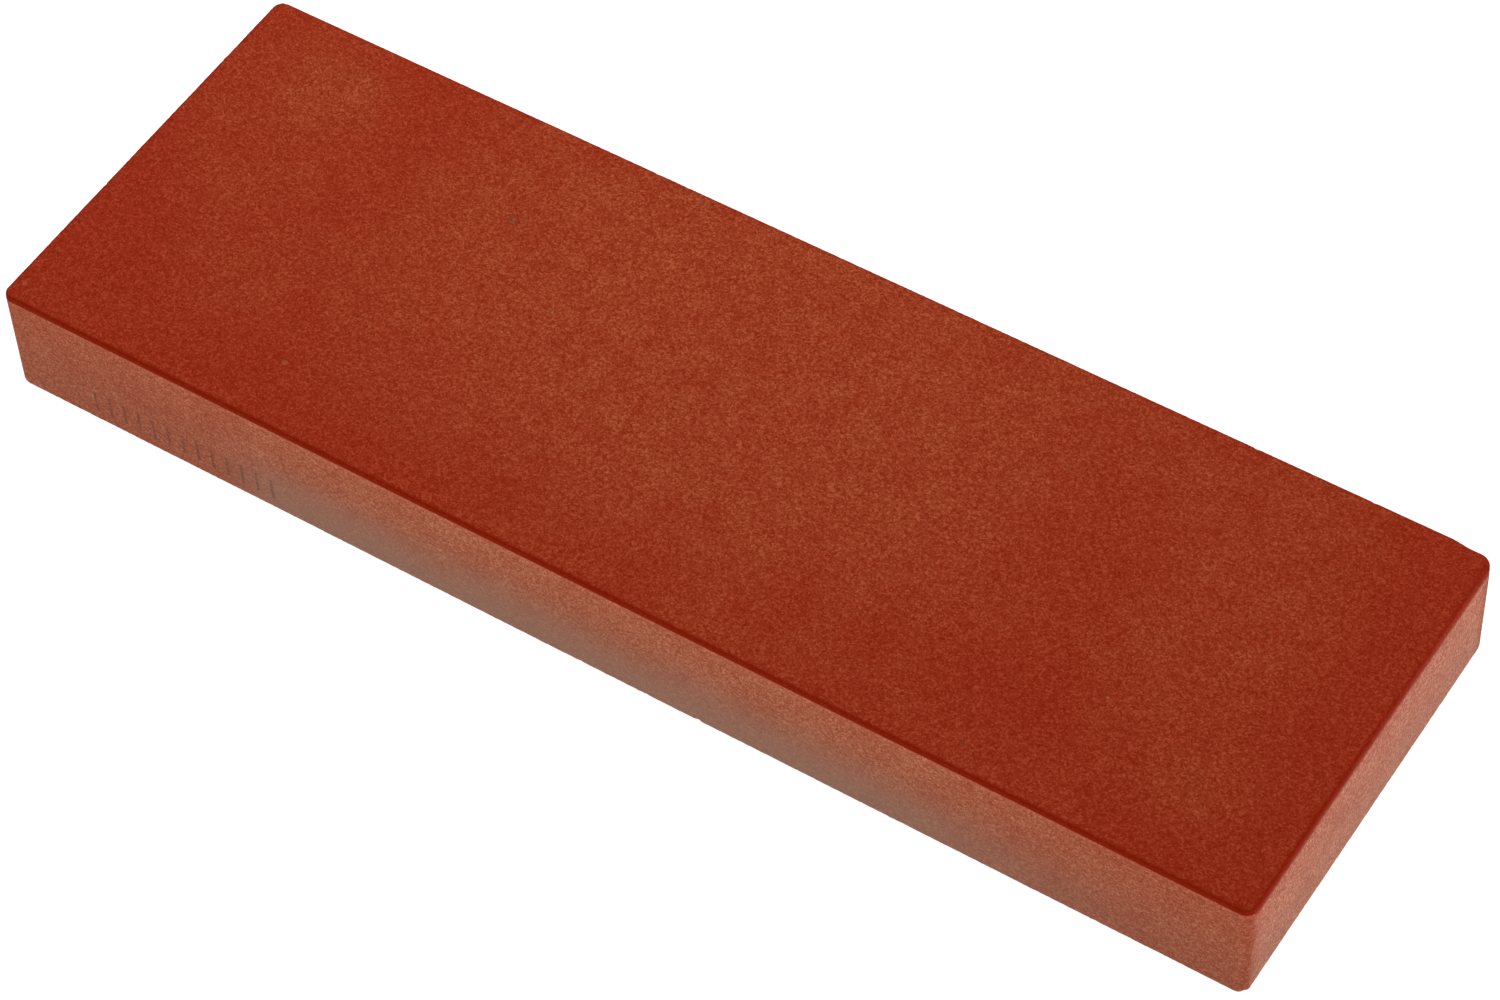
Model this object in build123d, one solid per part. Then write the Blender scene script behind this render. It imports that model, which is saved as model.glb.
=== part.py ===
from build123d import *
import os

# Bench sharpening stone: one moulded block of abrasive grain in a hard bond.
# Units are millimetres. X runs along the stone, Y across it and Z up.
# The origin is the middle of the underside, the face that the stone rests on.

LENGTH = 210.0
WIDTH = 70.0
HEIGHT = 20.0
CORNER_RADIUS = 1.7  # the four upright edges, rounded by the mould
TOP_BEVEL = 0.65  # at 45 degrees, ground all round the working face
FOOT_BEVEL = 0.3  # at 45 degrees, all round the underside


def stone_block():
    """The whole stone: rounded upright edges and a fine bevel round the top and the foot."""
    blank = Box(LENGTH, WIDTH, HEIGHT, align=(Align.CENTER, Align.CENTER, Align.MIN))
    moulded = fillet(blank.edges().filter_by(Axis.Z), CORNER_RADIUS)
    footed = chamfer(moulded.faces().sort_by(Axis.Z)[0].edges(), FOOT_BEVEL)
    return chamfer(footed.faces().sort_by(Axis.Z)[-1].edges(), TOP_BEVEL)


NODES = {"stone_block": stone_block}

os.makedirs("parts", exist_ok=True)
for node, make in NODES.items():
    solid = make()
    solid.label = node
    export_step(solid, f"parts/{node}.step")
    size = solid.bounding_box().size
    print(f"{node}: {size.X:.2f} x {size.Y:.2f} x {size.Z:.2f} mm, {solid.volume / 1000:.2f} cm3")
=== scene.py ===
"""A bench sharpening stone: a moulded abrasive block with lapped faces and ground rims.

The block's size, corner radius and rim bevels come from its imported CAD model. This add-on
makes the worn and grainy surface round them, the material, and a plain studio to see it in.
"""

import math
import random

import bpy
import numpy as np
from bpy.props import FloatProperty, FloatVectorProperty, IntProperty, PointerProperty
from bpy.types import Operator, Panel, PropertyGroup
from mathutils import Matrix, Vector, noise


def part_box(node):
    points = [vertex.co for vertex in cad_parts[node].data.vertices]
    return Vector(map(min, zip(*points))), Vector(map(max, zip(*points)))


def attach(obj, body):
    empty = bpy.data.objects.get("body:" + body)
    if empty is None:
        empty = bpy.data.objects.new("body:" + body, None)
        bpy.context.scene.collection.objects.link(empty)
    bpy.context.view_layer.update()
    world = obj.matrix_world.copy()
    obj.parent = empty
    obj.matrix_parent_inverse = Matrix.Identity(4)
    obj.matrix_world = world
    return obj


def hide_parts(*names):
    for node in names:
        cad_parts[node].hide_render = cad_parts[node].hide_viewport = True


bl_info = {
    "name": "Bench Sharpening Stone",
    "version": (1, 0, 0),
    "blender": (4, 5, 0),
    "location": "View3D > Sidebar > Sharpening Stone",
    "description": "Builds a grainy bench stone round its CAD block, and a plain studio",
    "category": "Add Mesh",
}

MM = 0.001
BLOCK_NODE = "stone_block"

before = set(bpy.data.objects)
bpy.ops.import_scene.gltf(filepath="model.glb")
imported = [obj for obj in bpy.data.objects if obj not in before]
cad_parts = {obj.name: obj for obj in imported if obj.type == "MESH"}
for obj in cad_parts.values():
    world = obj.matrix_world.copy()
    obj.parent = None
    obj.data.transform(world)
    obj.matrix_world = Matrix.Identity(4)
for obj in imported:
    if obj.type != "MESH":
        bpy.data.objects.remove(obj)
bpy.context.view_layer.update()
low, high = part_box(BLOCK_NODE)
LENGTH, WIDTH, HEIGHT = high - low


def rim_bevels():
    """The widths of the foot bevel and the top bevel, from the levels of the CAD points.

    The CAD's rounded corners have a level half way up the top bevel, and it counts here, so
    the top bevel comes out half as wide as the CAD's. The clean strips below it hide that.
    """
    levels = sorted({round(v.co.z, 7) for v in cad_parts[BLOCK_NODE].data.vertices})
    return levels[1] - levels[0], levels[-1] - levels[-2]


def corner_radius():
    """The upright corners' radius: how far the front side's flat stops short of the end."""
    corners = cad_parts[BLOCK_NODE].data.vertices
    flat_end = max(v.co.x for v in corners if abs(v.co.y - low.y) < MM * 0.001)
    return high.x - flat_end


FOOT_BEVEL, TOP_BEVEL = rim_bevels()
RADIUS = corner_radius()


# ---------------------------------------------------------------- sizes, colours and lights


class StoneShape(PropertyGroup):
    """How finely the block is meshed, and how worn its rims are."""

    face_step: FloatProperty(
        name="Face step",
        description="Spacing of the points across the flat faces",
        default=2.0 * MM,
        unit="LENGTH",
    )
    arris_round: FloatProperty(
        name="Arris rounding",
        description="How far the sharp edge each side of the bevel is rounded over",
        default=0.08 * MM,
        unit="LENGTH",
    )
    arris_break: FloatProperty(
        name="Arris raggedness",
        description="Deepest loss where single grains have dropped out of the rim",
        default=0.075 * MM,
        unit="LENGTH",
    )
    grain_pull: FloatProperty(
        name="Raggedness length",
        description="Distance along the rim from one lost grain to the next",
        default=0.7 * MM,
        unit="LENGTH",
    )
    face_wave: FloatProperty(
        name="Face unevenness",
        description="Depth of the long waves left in the lapped faces",
        default=0.012 * MM,
        unit="LENGTH",
    )
    side_wave: FloatProperty(
        name="Side unevenness",
        description="Depth of the long waves that the mould leaves in the sides",
        default=0.06 * MM,
        unit="LENGTH",
    )
    chips: IntProperty(
        name="Chips",
        description="How many small chips the rims have",
        default=70,
    )
    chip_radius: FloatProperty(
        name="Largest chip",
        description="Radius of the largest chip",
        default=0.6 * MM,
        unit="LENGTH",
    )
    chip_depth: FloatProperty(
        name="Chip depth",
        description="Depth of the largest chip",
        default=0.16 * MM,
        unit="LENGTH",
    )
    worn_radius: FloatProperty(
        name="Worn corner's radius",
        description="Radius that use has given the back right corner of the top",
        default=2.1 * MM,
        unit="LENGTH",
    )
    worn_reach: FloatProperty(
        name="Worn corner's reach",
        description="How far that rounding spreads before it dies out",
        default=7.0 * MM,
        unit="LENGTH",
    )
    seed: IntProperty(name="Seed", description="Chooses where the chips fall", default=8)


def colour(name, description, default):
    """A linear RGB colour that the sidebar shows as a swatch."""
    return FloatVectorProperty(
        name=name,
        description=description,
        default=default,
        size=3,
        subtype="COLOR",
        min=0.0,
        max=1.0,
    )


class StoneFinish(PropertyGroup):
    """The colours and the surface of the bonded abrasive, with the painted sheen, highlight, shade
    and table reflection on its sides.
    """

    dark_grain: colour("Dark grain", "The darkest grains in the bond", (0.222, 0.0100, 0.0))
    light_grain: colour("Light grain", "The lightest grains", (0.392, 0.0400, 0.0175))
    fresh_cut: colour("Fresh cut", "Mean of the ground bevel, free of dust", (0.235, 0.0110, 0.0))
    dust: colour("Dust", "Dry dust of the stone, left on the faces", (0.60, 0.27, 0.095))
    # Skin colours: the paler layer of the sides, partly mould skin and dust, partly a painted sheen
    # reflecting the pale table.
    skin: colour("Mould skin", "Paler skin on the long sides, left by the mould", (0.62, 0.29, 0.155))
    end_skin_and_sheen: colour("End skin", "Skin on the two ends, a little pinker", (0.625, 0.295, 0.195))
    # Painted highlight: the colour of a glint line just under the top bevel of the long sides.
    edge_glint: colour("Rubbed line", "Cleaner line along the top of the long sides", (0.66, 0.14, 0.075))
    # Painted shade: the colour that darkens the foot of the sides, where they get less light.
    foot_shade: colour("Foot stain", "Damp grime low on the sides", (0.14, 0.085, 0.060))
    # Painted reflection: the pale grey of the white table, seen low on the long sides.
    table_reflection: colour("Slurry film", "Grey film that dried along the foot", (0.29, 0.21, 0.16))
    dark_speck: colour("Dark speck", "A stray dark mineral grain", (0.10, 0.030, 0.018))
    pale_speck: colour("Pale speck", "A stray pale mineral grain", (0.50, 0.28, 0.17))
    ink: colour("Ink", "The faint batch ticks on the front side", (0.10, 0.045, 0.030))
    grain_size: FloatProperty(
        name="Grain size",
        description="Size of the grains that the eye can tell apart",
        default=0.28 * MM,
        unit="LENGTH",
    )
    face_haze: FloatProperty(
        name="Haze on the faces",
        description="Share of dust where the lapped faces are palest",
        default=0.095,
        subtype="FACTOR",
    )
    # Share of skin and painted sheen on the long sides.
    side_skin_sheen_share: FloatProperty(
        name="Haze on the long sides",
        description="Share of dust in the moulded long sides",
        default=0.35,
        subtype="FACTOR",
    )
    # Share of skin and painted sheen on the ends.
    end_skin_sheen_share: FloatProperty(
        name="Haze on the ends",
        description="Share of dust in the moulded ends",
        default=0.53,
        subtype="FACTOR",
    )
    # Share of the painted shade at the foot of the sides.
    foot: FloatProperty(
        name="Foot stain",
        description="Share of grime at the foot of the sides",
        default=0.33,
        subtype="FACTOR",
    )
    # Share of the painted table reflection at the foot of the long sides.
    table_reflection_share: FloatProperty(
        name="Slurry film",
        description="Share of slurry film at the foot of the long sides",
        default=0.42,
        subtype="FACTOR",
    )
    ink_share: FloatProperty(
        name="Ink strength",
        description="Share of ink left in the batch ticks",
        default=0.55,
        subtype="FACTOR",
    )
    roughness: FloatProperty(
        name="Roughness",
        description="Mean roughness of the open, unglazed surface",
        default=0.82,
        subtype="FACTOR",
    )
    gloss: FloatProperty(
        name="Gloss",
        description="Specular level of the grains",
        default=0.03,
        subtype="FACTOR",
    )
    relief: FloatProperty(
        name="Grain relief",
        description="Height of the grains above the bond",
        default=0.04 * MM,
        unit="LENGTH",
    )


class StoneStudio(PropertyGroup):
    """The table, the lights and the camera."""

    table: colour("Table", "The plain table", (0.30, 0.30, 0.30))
    table_glow: FloatProperty(
        name="Table glow",
        description="Light that the translucent table gives from below",
        default=0.93,
    )
    room: FloatProperty(
        name="Room light",
        description="Even light from the white room",
        default=0.50,
    )
    top_light: FloatProperty(
        name="Top light",
        description="Power of the softbox over the back left",
        default=2.4,
        unit="POWER",
    )
    end_light: FloatProperty(
        name="End light",
        description="Power of the low softbox off the right end",
        default=3.0,
        unit="POWER",
    )
    front_light: FloatProperty(
        name="Front light",
        description="Power of the low softbox in front",
        default=1.4,
        unit="POWER",
    )
    lens: FloatProperty(
        name="Lens",
        description="Focal length of the camera's lens, in millimetres",
        default=116.55,
    )
    distance: FloatProperty(
        name="Camera distance",
        description="From the camera to the point it looks at",
        default=0.6998,
        unit="LENGTH",
    )
    elevation: FloatProperty(
        name="Camera elevation",
        description="Angle of the view above the table",
        default=math.radians(51.78),
        subtype="ANGLE",
    )
    azimuth: FloatProperty(
        name="Camera azimuth",
        description="Angle of the view round from the front towards the right end",
        default=math.radians(35.06),
        subtype="ANGLE",
    )
    roll: FloatProperty(
        name="Camera roll",
        description="Tilt of the camera about its own line of sight",
        default=math.radians(3.07),
        subtype="ANGLE",
    )


# ---------------------------------------------------------------- the block's mesh

FINE_PER_STEP = 8  # fine points along the rim to each step of the flat faces
FINE_PER_CORNER = 16
RIM_FLAT = 0.4 * MM  # width of the finely meshed strip beside each arris
ONE_PER_STEP = 3  # the thinning that leaves one point of the rim to each step
WAVE_LENGTH = 24 * MM
FLAT = math.radians(90)
SLOPE = math.radians(45)
UPRIGHT = 0.0


class Perimeter:
    """The block's outline from above, as evenly spaced fine points, anticlockwise."""

    def __init__(self, step):
        half_x, half_y = LENGTH / 2 - RADIUS, WIDTH / 2 - RADIUS
        self.steps = [round(2 * half_x / step), round(2 * half_y / step)]
        centres = [(-half_x, -half_y), (half_x, -half_y), (half_x, half_y), (-half_x, half_y)]
        centres = [np.array(c) for c in centres]
        wall, normal, turn = [], [], []
        for side in range(4):
            facing = math.radians(90 * side - 90)
            start, end = centres[side], centres[(side + 1) % 4]
            pieces = self.steps[side % 2] * FINE_PER_STEP
            for i in range(pieces + FINE_PER_CORNER):
                beyond = max(i - pieces, 0)
                angle = facing + math.radians(90) * beyond / FINE_PER_CORNER
                outward = np.array([math.cos(angle), math.sin(angle)])
                centre = start + (end - start) * min(i / pieces, 1.0)
                wall.append(centre + RADIUS * outward)
                normal.append(outward)
                turn.append((beyond if i > pieces else i % FINE_PER_STEP, i > pieces))
        self.wall, self.normal = np.array(wall), np.array(normal)
        self.place_in_step = np.array([t[0] for t in turn])
        self.at_corner = np.array([t[1] for t in turn])
        gaps = np.linalg.norm(np.roll(self.wall, -1, 0) - self.wall, axis=1)
        self.along = np.concatenate([[0.0], np.cumsum(gaps)])

    def kept(self, thinning, whole_corners):
        """The fine points that a ring keeps: one in 2**thinning, or at corners every one."""
        keep = self.place_in_step % 2**thinning == 0
        if whole_corners:
            keep |= self.at_corner
        return np.flatnonzero(keep)


class BlockMesh:
    """Points and faces of the block, gathered ring by ring from the top to the underside."""

    def __init__(self, perimeter):
        self.perimeter = perimeter
        self.faces, self.islands = [], []
        self.points, self.outward, self.tilt, self.along = [], [], [], []
        self.marks = {"rim": [], "arris": [], "side": []}

    def add(self, place, outward, tilt, along, marks):
        """One point, with the angle of its normal above the horizon."""
        self.points.append(place)
        self.outward.append(outward)
        self.tilt.append(tilt)
        self.along.append(along)
        for name, values in self.marks.items():
            values.append(marks.get(name, 0.0))
        return len(self.points) - 1

    def ring(self, inset, z, thinning, tilt, marks):
        """A ring of points that far in from the sides, as pairs: place on the perimeter, point."""
        rim = self.perimeter
        pairs = []
        for k in rim.kept(thinning, tilt == UPRIGHT).tolist():
            x, y = rim.wall[k] - inset * rim.normal[k]
            pairs.append((k, self.add((x, y, z), rim.normal[k], tilt, rim.along[k], marks)))
        return pairs

    def sheet(self, z, tilt):
        """A flat face's grid of points inside the corner radius. Returns its border as a ring."""
        nx, ny = self.perimeter.steps
        xs = np.linspace(-LENGTH / 2 + RADIUS, LENGTH / 2 - RADIUS, nx + 1)
        ys = np.linspace(-WIDTH / 2 + RADIUS, WIDTH / 2 - RADIUS, ny + 1)
        grid = [[self.add((x, y, z), (0.0, 0.0), tilt, 0.0, {}) for x in xs] for y in ys]
        for j in range(ny):
            for i in range(nx):
                quad = [grid[j][i], grid[j][i + 1], grid[j + 1][i + 1], grid[j + 1][i]]
                self.face(quad if tilt > 0 else quad[::-1], "top" if tilt > 0 else "under")
        sides = [
            grid[0],
            [row[-1] for row in grid],
            grid[-1][::-1],
            [row[0] for row in reversed(grid)],
        ]
        border, start = [], 0
        for side in sides:
            border += [(start + FINE_PER_STEP * i, point) for i, point in enumerate(side)]
            start += FINE_PER_STEP * (len(side) - 1) + FINE_PER_CORNER
        return border

    def face(self, corners, island):
        """A face without the corners that fall together, if three or more are left."""
        kept = [c for i, c in enumerate(corners) if c != corners[i - 1]]
        if len(kept) > 2:
            self.faces.append(kept)
            self.islands.append(island)

    def stitch(self, upper, lower, island):
        """Joins two rings into a strip, with triangles where one has more points."""
        total = len(self.perimeter.wall)
        upper = upper + [(total, upper[0][1])]
        lower = lower + [(total, lower[0][1])]
        i = j = 0
        while i < len(upper) - 1 or j < len(lower) - 1:
            next_upper = upper[i + 1][0] if i < len(upper) - 1 else math.inf
            next_lower = lower[j + 1][0] if j < len(lower) - 1 else math.inf
            corners = [upper[i][1], lower[j][1]]
            if next_lower <= next_upper:
                j += 1
                corners.append(lower[j][1])
            if next_upper <= next_lower:
                i += 1
                corners.append(upper[i][1])
            self.face(corners, island)


def rim_profile(shape, bevel):
    """The rings from a flat face's border, over its bevel and down the side.

    Each is its inset from the side, its drop below the face, its thinning, the tilt of its
    normal, and its marks.
    """
    over = shape.arris_round
    turn = over / math.sqrt(2)
    third = (bevel - 2 * turn) / 3
    strip = bevel + RIM_FLAT
    near, far = (strip + share * (RADIUS - strip) for share in (0.25, 0.60))
    upper_arris = {"rim": 1.0, "arris": 0.5}
    lower_arris = {"rim": 1.0, "arris": 1.0}
    return [
        (far, 0.0, 2, FLAT, {}),
        (near, 0.0, 1, FLAT, {}),
        (strip, 0.0, 0, FLAT, {}),
        (bevel + over, 0.0, 0, FLAT, {"rim": 0.6, "arris": 0.2}),
        (bevel - turn, turn, 0, SLOPE, upper_arris),
        (bevel - turn - third, turn + third, 0, SLOPE, {"rim": 1.0}),
        (turn + third, bevel - turn - third, 0, SLOPE, {"rim": 1.0}),
        (turn, bevel - turn, 0, SLOPE, lower_arris),
        (0.0, bevel + over, 0, UPRIGHT, {"side": 1.0, "arris": 0.7}),
        (0.0, strip, 0, UPRIGHT, {"side": 1.0}),
        (0.0, near, 1, UPRIGHT, {"side": 1.0}),
        (0.0, far, 2, UPRIGHT, {"side": 1.0}),
    ]


def gather_block(shape):
    """The whole closed block, before wear."""
    block = BlockMesh(Perimeter(shape.face_step))
    over_top, over_foot = rim_profile(shape, TOP_BEVEL), rim_profile(shape, FOOT_BEVEL)
    start, end = HEIGHT - over_top[-1][1], over_foot[-1][1]
    rows = round((start - end) / shape.face_step)
    rings = [("top", block.sheet(HEIGHT, FLAT))]
    for inset, drop, thinning, tilt, marks in over_top:
        part = "side" if tilt == UPRIGHT else "top"
        rings.append((part, block.ring(inset, HEIGHT - drop, thinning, tilt, marks)))
    for row in range(1, rows):
        z = start + (end - start) * row / rows
        rings.append(("side", block.ring(0.0, z, ONE_PER_STEP, UPRIGHT, {"side": 1.0})))
    for inset, drop, thinning, tilt, marks in reversed(over_foot):
        part = "side" if tilt == UPRIGHT else "under"
        rings.append((part, block.ring(inset, drop, thinning, -tilt, marks)))
    rings.append(("under", block.sheet(0.0, -FLAT)))
    for (above, upper), (below, lower) in zip(rings, rings[1:]):
        block.stitch(upper, lower, below if above == "side" else above)
    return block


def lumps(places, length, offset):
    """Smooth random values from 0 to 1 at each place, in lumps of about that length."""
    shift = Vector((offset, -offset, 2 * offset))
    values = np.array([noise.noise(Vector(p) / length + shift) for p in places])
    return np.clip(0.5 + 0.6 * values, 0.0, 1.0)


CHIPS_AT_CORNERS = 0.3
SMALLEST_CHIP = 0.3


def chip_losses(shape, perimeter, places):
    """How deep the chips bite at each place. They sit on the rims, thicker at the corners."""
    draw = random.Random(shape.seed)
    corners = np.flatnonzero(perimeter.at_corner).tolist()
    loss = np.zeros(len(places))
    for _ in range(shape.chips):
        near_corner = draw.random() < CHIPS_AT_CORNERS
        k = draw.choice(corners) if near_corner else draw.randrange(len(perimeter.wall))
        at_top = draw.random() < 0.5
        bevel = TOP_BEVEL if at_top else FOOT_BEVEL
        inset, drop = draw.choice([(0.0, bevel), (0.0, bevel), (bevel, 0.0)])
        x, y = perimeter.wall[k] - inset * perimeter.normal[k]
        z = HEIGHT - drop if at_top else drop
        size = draw.uniform(SMALLEST_CHIP, 1.0) ** 2
        radius = shape.chip_radius * max(size, 0.4)
        away = np.linalg.norm(places - np.array([x, y, z]), axis=1) / radius
        loss = np.maximum(loss, shape.chip_depth * size * np.clip(1.0 - away**2, 0.0, None))
    return loss


WORN_SQUASH = 1.8  # the worn corner is this much rounder from above than from the side


def worn_corner(shape, places):
    """The places once use has rounded the back right corner of the top."""
    squash = np.array([1.0, 1.0, WORN_SQUASH])
    away = (places - np.array([LENGTH / 2, WIDTH / 2, HEIGHT])) * squash
    out = away - np.minimum(away, -shape.worn_radius)
    length = np.maximum(np.linalg.norm(out, axis=1), shape.worn_radius)
    over = (length - shape.worn_radius) / length
    fall = np.clip(1.0 - (np.linalg.norm(away, axis=1) / shape.worn_reach) ** 2, 0.0, None)
    return places - out * (over * np.minimum(1.0, 2.0 * fall**2))[:, None] / squash


def wear_block(shape, block):
    """Where each point lies once the waves, lost grains and chips are in, and what chips took."""
    places, outward, tilt = (np.array(v) for v in (block.points, block.outward, block.tilt))
    rim, arris, side = (np.array(block.marks[name]) for name in ("rim", "arris", "side"))
    normal = np.column_stack([outward * np.cos(tilt)[:, None], np.sin(tilt)])
    wave = lumps(places, WAVE_LENGTH, 3.0)
    drift = np.column_stack([
        outward * (shape.side_wave * wave)[:, None],
        np.sign(np.round(tilt, 3)) * shape.face_wave * wave,
    ])
    pulled = lumps(places, shape.grain_pull, 7.0) * lumps(places, shape.grain_pull / 2, 11.0)
    ragged = shape.arris_break * np.maximum(0.4 * rim, arris) * pulled * 2
    at_rim = np.clip(rim + arris + side, 0, 1)
    chipped = chip_losses(shape, block.perimeter, places) * at_rim
    worn = places - drift - normal * (ragged + chipped)[:, None]
    return worn_corner(shape, worn), chipped / shape.chip_depth


LAYOUT_NAME = "OFBake"
LAYOUT_GAP = 3.0 * MM


def layout(block, places):
    """A flat place for each corner of each face: both flat faces whole, the sides in four strips."""
    rim = block.perimeter
    size = LENGTH + 2 * LAYOUT_GAP
    row = HEIGHT - TOP_BEVEL - FOOT_BEVEL + LAYOUT_GAP
    first_row = 2 * WIDTH + 3 * LAYOUT_GAP
    total = rim.along[-1]
    cuts, k = [], 0
    for side in range(4):
        k += rim.steps[side % 2] * FINE_PER_STEP
        cuts.append(rim.along[k + FINE_PER_CORNER // 2])
        k += FINE_PER_CORNER
    starts = [cuts[3] - total, cuts[0], cuts[1], cuts[2]]
    end_strip = cuts[1] - cuts[0] + 2 * LAYOUT_GAP
    corners_of = [
        (LAYOUT_GAP, first_row),
        (LAYOUT_GAP, first_row + 2 * row),
        (LAYOUT_GAP, first_row + row),
        (end_strip, first_row + 2 * row),
    ]
    flat = []
    for corners, island in zip(block.faces, block.islands):
        if island == "side":
            along = np.array([block.along[c] for c in corners])
            if np.ptp(along) > total / 2:
                along = np.where(along > total / 2, along - total, along)
            if along.mean() > cuts[3]:
                along = along - total
            strip = sum(along.mean() > cut for cut in cuts[:3])
            across, up = corners_of[strip]
            for c, s in zip(corners, along):
                flat.append((s - starts[strip] + across, places[c][2] - FOOT_BEVEL + up))
        else:
            up = LAYOUT_GAP if island == "under" else 2 * LAYOUT_GAP + WIDTH
            mirror = -1 if island == "under" else 1
            for c in corners:
                flat.append((mirror * places[c][0] + size / 2, places[c][1] + WIDTH / 2 + up))
    return np.array(flat) / size


def make_block(shape):
    """The worn block as a mesh object, with the marks that its finish reads."""
    block = gather_block(shape)
    places, chipped = wear_block(shape, block)
    mesh = bpy.data.meshes.new("stone_body")
    mesh.from_pydata(places.tolist(), [], block.faces)
    mesh.polygons.foreach_set("use_smooth", [True] * len(block.faces))
    for name, values in {**block.marks, "chipped": chipped}.items():
        mark = mesh.attributes.new(name, "FLOAT", "POINT")
        mark.data.foreach_set("value", np.asarray(values, dtype=np.float32))
    flat = mesh.uv_layers.new(name=LAYOUT_NAME)
    flat.data.foreach_set("uv", layout(block, places).astype(np.float32).ravel())
    mesh.validate()
    body = bpy.data.objects.new("stone_body", mesh)
    bpy.context.scene.collection.objects.link(body)
    return body


# ---------------------------------------------------------------- the bonded abrasive


class Finish:
    """A material's nodes, with a short call for each kind of step."""

    def __init__(self, name):
        self.material = bpy.data.materials.new(name)
        self.material.use_nodes = True
        self.tree = self.material.node_tree
        self.tree.nodes.clear()

    def node(self, kind, inputs, **settings):
        """A node with its settings, and each input either joined to a socket or set."""
        made = self.tree.nodes.new("ShaderNode" + kind)
        for name, value in settings.items():
            setattr(made, name, value)
        for key, value in inputs.items():
            socket = made.inputs[key]
            if isinstance(value, bpy.types.NodeSocket):
                self.tree.links.new(value, socket)
            elif socket.type == "RGBA":
                socket.default_value = (*value, 1.0)
            else:
                socket.default_value = value
        return made

    def mark(self, name):
        """One of the marks that the mesh carries."""
        return self.node("Attribute", {}, attribute_name=name).outputs["Fac"]

    def axes(self, place):
        """The three coordinates of a place."""
        return self.node("SeparateXYZ", {0: place}).outputs

    def step(self, operation, a, b=0.0, c=0.0):
        """A step of arithmetic."""
        return self.node("Math", {0: a, 1: b, 2: c}, operation=operation).outputs[0]

    def times(self, first, *others):
        """The product of the factors."""
        for factor in others:
            first = self.step("MULTIPLY", first, factor)
        return first

    def linear(self, value, slope, start):
        """The start, plus slope for each unit of the value."""
        return self.step("MULTIPLY_ADD", value, slope, start)

    def hypot(self, a, b):
        """The long side of a right-angled triangle with short sides a and b."""
        return self.step("SQRT", self.step("ADD", self.times(a, a), self.times(b, b)))

    def distance(self, place, point):
        """How far the place is from one point."""
        inputs = {0: place, 1: point}
        return self.node("VectorMath", inputs, operation="DISTANCE").outputs["Value"]

    def fade(self, value, start, end, first=0.0, last=1.0):
        """A smooth change from first to last while value goes from start to end."""
        inputs = {
            "Value": value,
            "From Min": start,
            "From Max": end,
            "To Min": first,
            "To Max": last,
        }
        return self.node("MapRange", inputs, interpolation_type="SMOOTHSTEP").outputs["Result"]

    def blend(self, share, a, b):
        """Colour a turning into colour b as share goes from 0 to 1."""
        inputs = {"Factor": share, 6: a, 7: b}
        return self.node("Mix", inputs, data_type="RGBA").outputs[2]

    def clouds(self, place, size, detail=2.0, twist=0.0):
        """Smooth random values about 0.5, in patches of about that size."""
        inputs = {"Vector": place, "Scale": 1 / size, "Detail": detail, "Distortion": twist}
        return self.node("TexNoise", inputs).outputs[0]

    def cells(self, place, size):
        """A random value for each cell of that size."""
        made = self.node("TexVoronoi", {"Vector": place, "Scale": 1 / size})
        return self.node("SeparateColor", {0: made.outputs["Color"]}).outputs[0]


def grain_value(finish, style, place):
    """From 0, a dark grain, to 1, a light one. Light grains are fewer and stand out."""
    flecks = finish.fade(finish.cells(place, style.grain_size), 0.50, 1.0)
    threads = finish.clouds(place, 1.6 * style.grain_size, 2.0, 1.2)
    threads = finish.fade(threads, 0.30, 0.75)
    return finish.linear(flecks, 0.5, finish.times(threads, 0.5))


# Stray grains in the worn face: place in millimetres, radius, and share of the speck's colour.
DARK_SPECKS = [
    ((-48.0, 16.0), 0.75, 0.50),
    ((46.0, 18.0), 0.35, 0.55),
    ((58.0, -30.5), 0.40, 0.55),
    ((-80.0, 19.5), 0.28, 0.40),
    ((-13.0, 18.0), 0.25, 0.40),
    ((22.0, -12.0), 0.25, 0.35),
    ((84.0, 7.0), 0.28, 0.45),
]
PALE_SPECKS = [
    ((-61.0, -24.0), 0.50, 0.16),
    ((-103.0, -31.5), 0.50, 0.12),
    ((-33.0, 4.0), 0.25, 0.30),
    ((71.0, -14.0), 0.25, 0.30),
]


def add_specks(finish, style, place, base):
    """The worn face with its stray grains."""
    for specks, shade in ((DARK_SPECKS, style.dark_speck), (PALE_SPECKS, style.pale_speck)):
        for (x, y), radius, share in specks:
            away = finish.distance(place, (x * MM, y * MM, HEIGHT))
            inside = finish.fade(away, 0.4 * radius * MM, 1.3 * radius * MM, share, 0.0)
            base = finish.blend(inside, base, shade)
    return base


# Where dry dust has stayed on the lapped faces. Middle, reach and strength of each patch, in
# shares of half the length and half the width.
HAZE_PATCHES = [
    ((-0.05, 0.32), (0.79, 1.65), 0.80),
    ((0.74, 0.25), (0.22, 1.20), 0.48),
    ((0.85, -0.60), (0.10, 0.30), 0.45),
    ((-0.86, 0.50), (0.20, 0.90), 0.35),
    ((-0.82, 0.66), (0.11, 0.30), 0.35),
    ((-0.74, -0.25), (0.16, 0.60), 0.30),
    ((0.42, -0.95), (0.40, 0.35), 0.20),
    ((0.50, 0.95), (0.30, 0.35), 0.25),
]
HAZE_FLOOR = 0.23
HAZE_WANDER = 14 * MM  # size of the wobbles in the patches' outlines
HAZE_MOTTLE = 5 * MM


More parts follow.
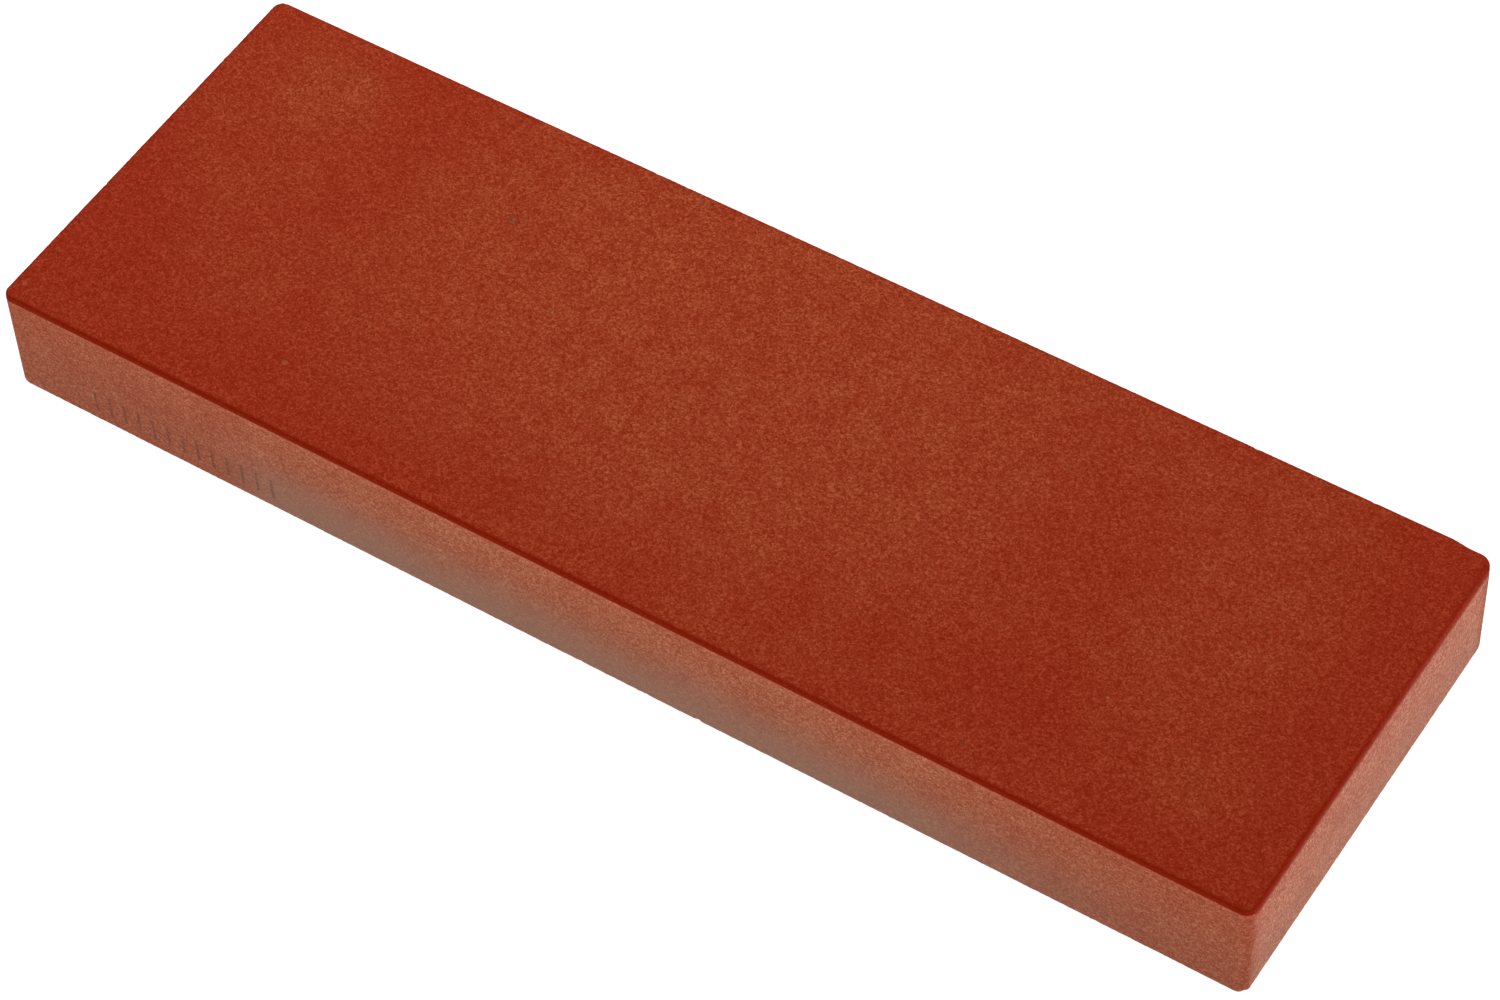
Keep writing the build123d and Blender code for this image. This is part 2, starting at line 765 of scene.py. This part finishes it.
def face_haze(finish, place):
    """About 0 to 1, how much dust hazes a lapped face."""
    x, y, _ = finish.axes(place)
    across = finish.step("DIVIDE", x, LENGTH / 2)
    back = finish.step("DIVIDE", y, WIDTH / 2)
    wander = finish.linear(finish.clouds(place, HAZE_WANDER), 0.5, -0.25)
    total = HAZE_FLOOR
    for (middle_x, middle_y), (reach_x, reach_y), strength in HAZE_PATCHES:
        dx = finish.step("DIVIDE", finish.step("SUBTRACT", across, middle_x), reach_x)
        dy = finish.step("DIVIDE", finish.step("SUBTRACT", back, middle_y), reach_y)
        away = finish.step("ADD", finish.hypot(dx, dy), wander)
        total = finish.step("ADD", total, finish.fade(away, 0.35, 1.0, strength, 0.0))
    mottle = finish.fade(finish.clouds(place, HAZE_MOTTLE), 0.25, 0.75, 0.75, 1.25)
    return finish.times(total, mottle)


class SidePlace:
    """Where a point of the sides is, in the ways that the layers of the sides need."""

    def __init__(self, finish, place):
        self.place = place
        self.x, self.y, self.z = finish.axes(place)
        self.side = finish.mark("side")
        self.wide = finish.step("ABSOLUTE", self.x)
        self.deep = finish.step("ABSOLUTE", self.y)
        across = finish.step("DIVIDE", self.x, LENGTH / 2)
        from_left = finish.fade(across, -0.68, -0.50)
        from_right = finish.fade(across, 0.98, 0.36)
        self.middle = finish.times(from_left, from_right)
        self.end = self.end_share(finish)

    def end_share(self, finish):
        """From 0 on the long sides to 1 on the ends, with the change just past the corners."""
        turned = finish.fade(self.wide, LENGTH / 2 - 0.7 * MM, LENGTH / 2 - 0.05 * MM)
        past = finish.fade(self.deep, WIDTH / 2 - 0.6 * MM, WIDTH / 2 - 2.5 * MM)
        return finish.times(turned, past)


# Skin in the constants below means the mould skin together with its painted sheen.
CORNER_LOSS = 0.25  # share of the skin that is missing where the ends turn the corner
# The clean strip under the top bevel: the skin and its painted sheen start at the first drop and are
# whole by the second. On the ends both are lower by the amounts after them.
STRIP_DROPS = (0.55 * MM, 0.75 * MM)
END_STRIP_DROPS = (0.40 * MM, 1.75 * MM)
BACK_END_DROP = 0.40 * MM  # the strip is this much deeper towards the back of the end
WORN_CLEAR = (1.6 * MM, 3.6 * MM)  # from the worn corner, to no skin and to whole skin
FOOT_CLEAR = 0.25 * MM


def skin_and_sheen_share(finish, style, at):
    """How much skin and painted sheen pale the sides: less at the corners, and not at all beside the
    ground bevels.
    """
    long_side = finish.linear(at.middle, 0.18 * style.side_skin_sheen_share, 0.82 * style.side_skin_sheen_share)
    end_side = finish.fade(at.y, -WIDTH / 2, 0.2 * WIDTH, 0.95 * style.end_skin_sheen_share, style.end_skin_sheen_share)
    share = finish.node("Mix", {0: at.end, 2: long_side, 3: end_side}).outputs[0]
    by_end = finish.fade(at.wide, LENGTH / 2 - 1.4 * MM, LENGTH / 2 - 0.4 * MM)
    by_side = finish.fade(at.deep, WIDTH / 2 - 3.9 * MM, WIDTH / 2 - 2.2 * MM)
    corner = finish.linear(finish.times(by_end, by_side), -CORNER_LOSS, 1.0)
    back_end = finish.times(finish.fade(at.y, 5 * MM, 25 * MM), at.end)
    below = finish.linear(back_end, -BACK_END_DROP, finish.step("SUBTRACT", HEIGHT, at.z))
    clear_to, skin_from = (
        finish.linear(at.end, end_drop, TOP_BEVEL + drop)
        for drop, end_drop in zip(STRIP_DROPS, END_STRIP_DROPS)
    )
    strip = finish.fade(below, clear_to, skin_from)
    away = finish.distance(at.place, (LENGTH / 2, WIDTH / 2, HEIGHT))
    foot = finish.fade(at.z, FOOT_BEVEL, FOOT_BEVEL + FOOT_CLEAR)
    return finish.times(share, corner, strip, finish.fade(away, *WORN_CLEAR), foot)


SKIN_AND_SHEEN_PATCH = 7 * MM


def add_skin_and_sheen(finish, style, at, grain, base):
    """The paler skin that the mould leaves, with a painted sheen of the pale table in it, patchy and
    strongest on the light grains.
    """
    patchy = finish.fade(finish.clouds(at.place, SKIN_AND_SHEEN_PATCH), 0.2, 0.8, 0.86, 1.14)
    uneven = finish.times(patchy, finish.linear(grain, 1.45, 0.50))
    skin = finish.times(skin_and_sheen_share(finish, style, at), at.side, uneven)
    return finish.blend(skin, base, finish.blend(at.end, style.skin, style.end_skin_and_sheen))


# The painted highlight line under the top bevel: its share, and where it starts and ends.
GLINT_SHARE = 0.15
GLINT_TOP = (0.5 * MM, 0.75 * MM)  # below the top bevel: where the line starts, and is whole
GLINT_FOOT = (1.8 * MM, 0.9 * MM)  # where it ends, and is still whole


def add_edge_glint(finish, style, at, base):
    """A painted highlight: a paler glint line along the top of the long sides."""
    below = finish.step("SUBTRACT", HEIGHT - TOP_BEVEL, at.z)
    line = finish.times(
        finish.fade(below, *GLINT_FOOT, 0.0, GLINT_SHARE),
        finish.fade(below, *GLINT_TOP),
        finish.step("SUBTRACT", at.side, at.end),
    )
    return finish.blend(line, base, style.edge_glint)


# The painted shade low on the sides: how high it reaches, where it is whole, and how much less the
# ends get.
FOOT_SHADE_TOP = 19.5 * MM
FOOT_SHADE_WHOLE = 1 * MM
END_FOOT_SHADE_LOSS = 0.75


def add_foot_shade(finish, style, at, base):
    """Painted shade low on the sides, darker towards the foot and strongest in the middle of the long
    ones.
    """
    painted_shade = finish.times(
        finish.fade(at.z, FOOT_SHADE_TOP, FOOT_SHADE_WHOLE),
        at.side,
        finish.linear(at.end, -END_FOOT_SHADE_LOSS, 1.0),
        finish.linear(at.middle, 0.43, 0.62),
        style.foot,
    )
    return finish.blend(painted_shade, base, style.foot_shade)


# The painted table reflection: size and swing of its wavy top edge, where it starts and is whole, and
# its share on the ends.
WAVE_PATCH = 12 * MM
WAVE_SWING = 5 * MM
REFLECTION_TOP = 16.5 * MM
REFLECTION_WHOLE = 4 * MM
END_REFLECTION = 0.45


def add_table_reflection(finish, style, at, base):
    """A painted reflection of the white table: a pale grey layer along the foot, up to a wavy top
    edge.
    """
    wavy_top = finish.linear(finish.clouds(at.place, WAVE_PATCH), WAVE_SWING, at.z)
    long_side = finish.step("SUBTRACT", at.middle, at.end)
    reach = finish.step("MAXIMUM", long_side, finish.times(at.end, END_REFLECTION))
    table_reflection_share = finish.fade(wavy_top, REFLECTION_TOP, REFLECTION_WHOLE)
    table_reflection_share = finish.times(table_reflection_share, finish.times(reach, at.side), style.table_reflection_share)
    return finish.blend(table_reflection_share, base, style.table_reflection)


TICK_PITCH = 2.7 * MM
TICK_SPAN = (-91.2 * MM, -56.1 * MM)
TICK_FOOT = 2.5 * MM
TICK_DOTS = 6
DOT_PITCH = 0.70 * MM
DOT_RADIUS = 0.28 * MM


def from_middle(finish, count, pitch):
    """How far a point is from the middle of its own tick or dot, counted in those."""
    return finish.times(finish.step("SUBTRACT", finish.step("FRACT", count), 0.5), pitch)


def add_batch_ticks(finish, style, at, base):
    """A plain row of dotted upright ticks, low on the left of the front side."""
    span = finish.step("DIVIDE", finish.step("SUBTRACT", at.x, TICK_SPAN[0]), TICK_PITCH)
    rise = finish.step("DIVIDE", finish.step("SUBTRACT", at.z, TICK_FOOT), DOT_PITCH)
    away = finish.hypot(from_middle(finish, span, TICK_PITCH), from_middle(finish, rise, DOT_PITCH))
    dot = finish.fade(away, 0.7 * DOT_RADIUS, 1.5 * DOT_RADIUS, 1.0, 0.0)
    ticks = round((TICK_SPAN[1] - TICK_SPAN[0]) / TICK_PITCH)
    for value, count in ((span, ticks), (rise, TICK_DOTS)):
        dot = finish.times(dot, finish.step("GREATER_THAN", value, 0.0))
        dot = finish.times(dot, finish.step("LESS_THAN", value, count))
    on_front = finish.step("LESS_THAN", at.y, -WIDTH / 2 + MM)
    return finish.blend(finish.times(dot, on_front, style.ink_share), base, style.ink)


FRESH_STRIP = (0.95 * MM, 0.55 * MM)  # below the top bevel: where fresh cut ends, and is whole
DULL_END = (LENGTH / 2 - 1.8 * MM, LENGTH / 2 - 0.8 * MM)
DULL_BACK = (-0.45 * WIDTH, 0.40 * WIDTH)
DULLED = 0.65


def fresh_share(finish, place, side, rim):
    """How fresh the ground rims are: whole, but less towards the back of the right end."""
    x, y, z = finish.axes(place)
    below = finish.step("SUBTRACT", HEIGHT - TOP_BEVEL, z)
    strip = finish.times(finish.fade(below, *FRESH_STRIP), side)
    lost = finish.times(finish.fade(x, *DULL_END), finish.fade(y, *DULL_BACK, 0.0, DULLED))
    return finish.times(finish.step("MAXIMUM", rim, strip), finish.step("SUBTRACT", 1.0, lost))


CHIP_DUST = 0.04


def stone_finish(style):
    """The bonded abrasive: grains, specks, fresh bevels, dusty faces and layered sides, with painted
    sheen, highlight, shade and table reflection on the sides.
    """
    finish = Finish("bonded_abrasive")
    place = finish.node("TexCoord", {}).outputs["Object"]
    side, rim, chipped = finish.mark("side"), finish.mark("rim"), finish.mark("chipped")

    grain = grain_value(finish, style, place)
    base = finish.blend(grain, style.dark_grain, style.light_grain)
    base = add_specks(finish, style, place, base)
    fresh = finish.blend(finish.times(grain, 0.35), style.fresh_cut, base)
    base = finish.blend(fresh_share(finish, place, side, rim), base, fresh)

    flat = finish.step("SUBTRACT", 1.0, finish.step("MAXIMUM", side, rim))
    haze = finish.times(face_haze(finish, place), style.face_haze)
    haze = finish.times(haze, finish.linear(grain, 2.2, 0.25), flat)
    base = finish.blend(finish.linear(chipped, CHIP_DUST, haze), base, style.dust)

    at = SidePlace(finish, place)
    # The sides' paler skin, with a painted sheen.
    base = add_skin_and_sheen(finish, style, at, grain, base)
    # Painted highlight line, painted foot shade and painted table reflection on the sides, then the
    # printed ticks.
    for add_layer in (add_edge_glint, add_foot_shade, add_table_reflection, add_batch_ticks):
        base = add_layer(finish, style, at, base)

    rough = finish.linear(grain, 0.16, style.roughness - 0.08)
    raised = finish.linear(finish.clouds(place, 2.5 * MM, 3.0), 0.6, grain)
    bump = finish.node("Bump", {"Height": raised, "Distance": style.relief, "Strength": 1.0})
    shader = finish.node("BsdfPrincipled", {
        "Base Color": base,
        "Roughness": rough,
        "Specular IOR Level": style.gloss,
        "Normal": bump.outputs[0],
    })
    finish.node("OutputMaterial", {"Surface": shader.outputs[0]})
    return finish.material


# ---------------------------------------------------------------- the studio

TABLE_REACH = 40.0
LOOK_AT_SHIFT = Vector((6.06 * MM, -3.95 * MM, 0.0))


def make_table(studio):
    """A plain pale table under the stone, glowing a little as a backlit sweep does."""
    bpy.ops.mesh.primitive_plane_add(size=TABLE_REACH, location=(0.0, 0.0, low.z))
    table = bpy.context.object
    table.name = "table"
    finish = Finish("white_table")
    shader = finish.node("BsdfPrincipled", {
        "Base Color": studio.table,
        "Roughness": 0.9,
        "Specular IOR Level": 0.1,
        "Emission Color": (1.0, 1.0, 1.0),
        "Emission Strength": studio.table_glow,
    })
    finish.node("OutputMaterial", {"Surface": shader.outputs[0]})
    table.data.materials.append(finish.material)


def softbox(name, place, size, power):
    """A square softbox that faces the stone and that the camera doesn't see."""
    light = bpy.data.lights.new(name, "AREA")
    light.shape = "SQUARE"
    light.size = size
    light.energy = power
    lamp = bpy.data.objects.new(name, light)
    lamp.location = place
    middle = (low + high) / 2
    lamp.rotation_euler = (middle - lamp.location).to_track_quat("-Z", "Y").to_euler()
    lamp.visible_camera = False
    bpy.context.scene.collection.objects.link(lamp)


def light_room(studio):
    """The white room's even light, and three softboxes."""
    world = bpy.data.worlds.new("white_room")
    world.use_nodes = True
    world.node_tree.nodes["Background"].inputs["Color"].default_value = (1.0, 1.0, 1.0, 1.0)
    world.node_tree.nodes["Background"].inputs["Strength"].default_value = studio.room
    bpy.context.scene.world = world
    softbox("top_softbox", Vector((-0.24, 0.34, 0.44)), 0.4, studio.top_light)
    softbox("end_softbox", Vector((1.0, 0.10, 0.22)), 0.7, studio.end_light)
    softbox("front_softbox", Vector((-0.3, -1.0, 0.25)), 0.7, studio.front_light)


def set_camera(studio):
    """A long lens, above the front right corner."""
    lens = bpy.data.cameras.new("camera")
    lens.lens = studio.lens
    lens.clip_start = 0.01
    camera = bpy.data.objects.new("camera", lens)
    out = math.cos(studio.elevation)
    towards = Vector((
        math.sin(studio.azimuth) * out,
        -math.cos(studio.azimuth) * out,
        math.sin(studio.elevation),
    ))
    target = (low + high) / 2 + LOOK_AT_SHIFT
    facing = (-towards).to_track_quat("-Z", "Y").to_matrix().to_4x4()
    roll = Matrix.Rotation(-studio.roll, 4, "Z")
    camera.matrix_world = Matrix.Translation(target + towards * studio.distance) @ facing @ roll
    scene = bpy.context.scene
    scene.collection.objects.link(camera)
    scene.camera = camera
    scene.view_settings.view_transform = "Standard"


# ---------------------------------------------------------------- the add-on


class STONE_OT_block(Operator):
    """Make the worn stone block and its finish in place of the plain CAD block"""

    bl_idname = "stone.block"
    bl_label = "Stone Block"

    def execute(self, context):
        body = make_block(context.scene.stone_shape)
        body.data.materials.append(stone_finish(context.scene.stone_finish))
        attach(body, "root")
        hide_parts(BLOCK_NODE)
        return {"FINISHED"}


class STONE_OT_studio(Operator):
    """Set out the table, the lights and the camera"""

    bl_idname = "stone.studio"
    bl_label = "Studio"

    def execute(self, context):
        studio = context.scene.stone_studio
        make_table(studio)
        light_room(studio)
        set_camera(studio)
        return {"FINISHED"}


class STONE_PT_panel(Panel):
    """The stone's settings and the buttons that make it"""

    bl_label = "Sharpening Stone"
    bl_idname = "STONE_PT_panel"
    bl_space_type = "VIEW_3D"
    bl_region_type = "UI"
    bl_category = "Sharpening Stone"

    def draw(self, context):
        scene = context.scene
        for settings in (scene.stone_shape, scene.stone_finish, scene.stone_studio):
            box = self.layout.box()
            for name in settings.bl_rna.properties.keys():
                if name not in ("rna_type", "name"):
                    box.prop(settings, name)
        self.layout.operator(STONE_OT_block.bl_idname)
        self.layout.operator(STONE_OT_studio.bl_idname)


CLASSES = (
    StoneShape,
    StoneFinish,
    StoneStudio,
    STONE_OT_block,
    STONE_OT_studio,
    STONE_PT_panel,
)
SETTINGS = {
    "stone_shape": StoneShape,
    "stone_finish": StoneFinish,
    "stone_studio": StoneStudio,
}


def register():
    for cls in CLASSES:
        bpy.utils.register_class(cls)
    for name, group in SETTINGS.items():
        setattr(bpy.types.Scene, name, PointerProperty(type=group))


def unregister():
    for name in SETTINGS:
        delattr(bpy.types.Scene, name)
    for cls in reversed(CLASSES):
        bpy.utils.unregister_class(cls)


def main():
    """Builds everything round the CAD block."""
    register()
    bpy.ops.stone.block()
    bpy.ops.stone.studio()


if __name__ == "__main__":
    main()
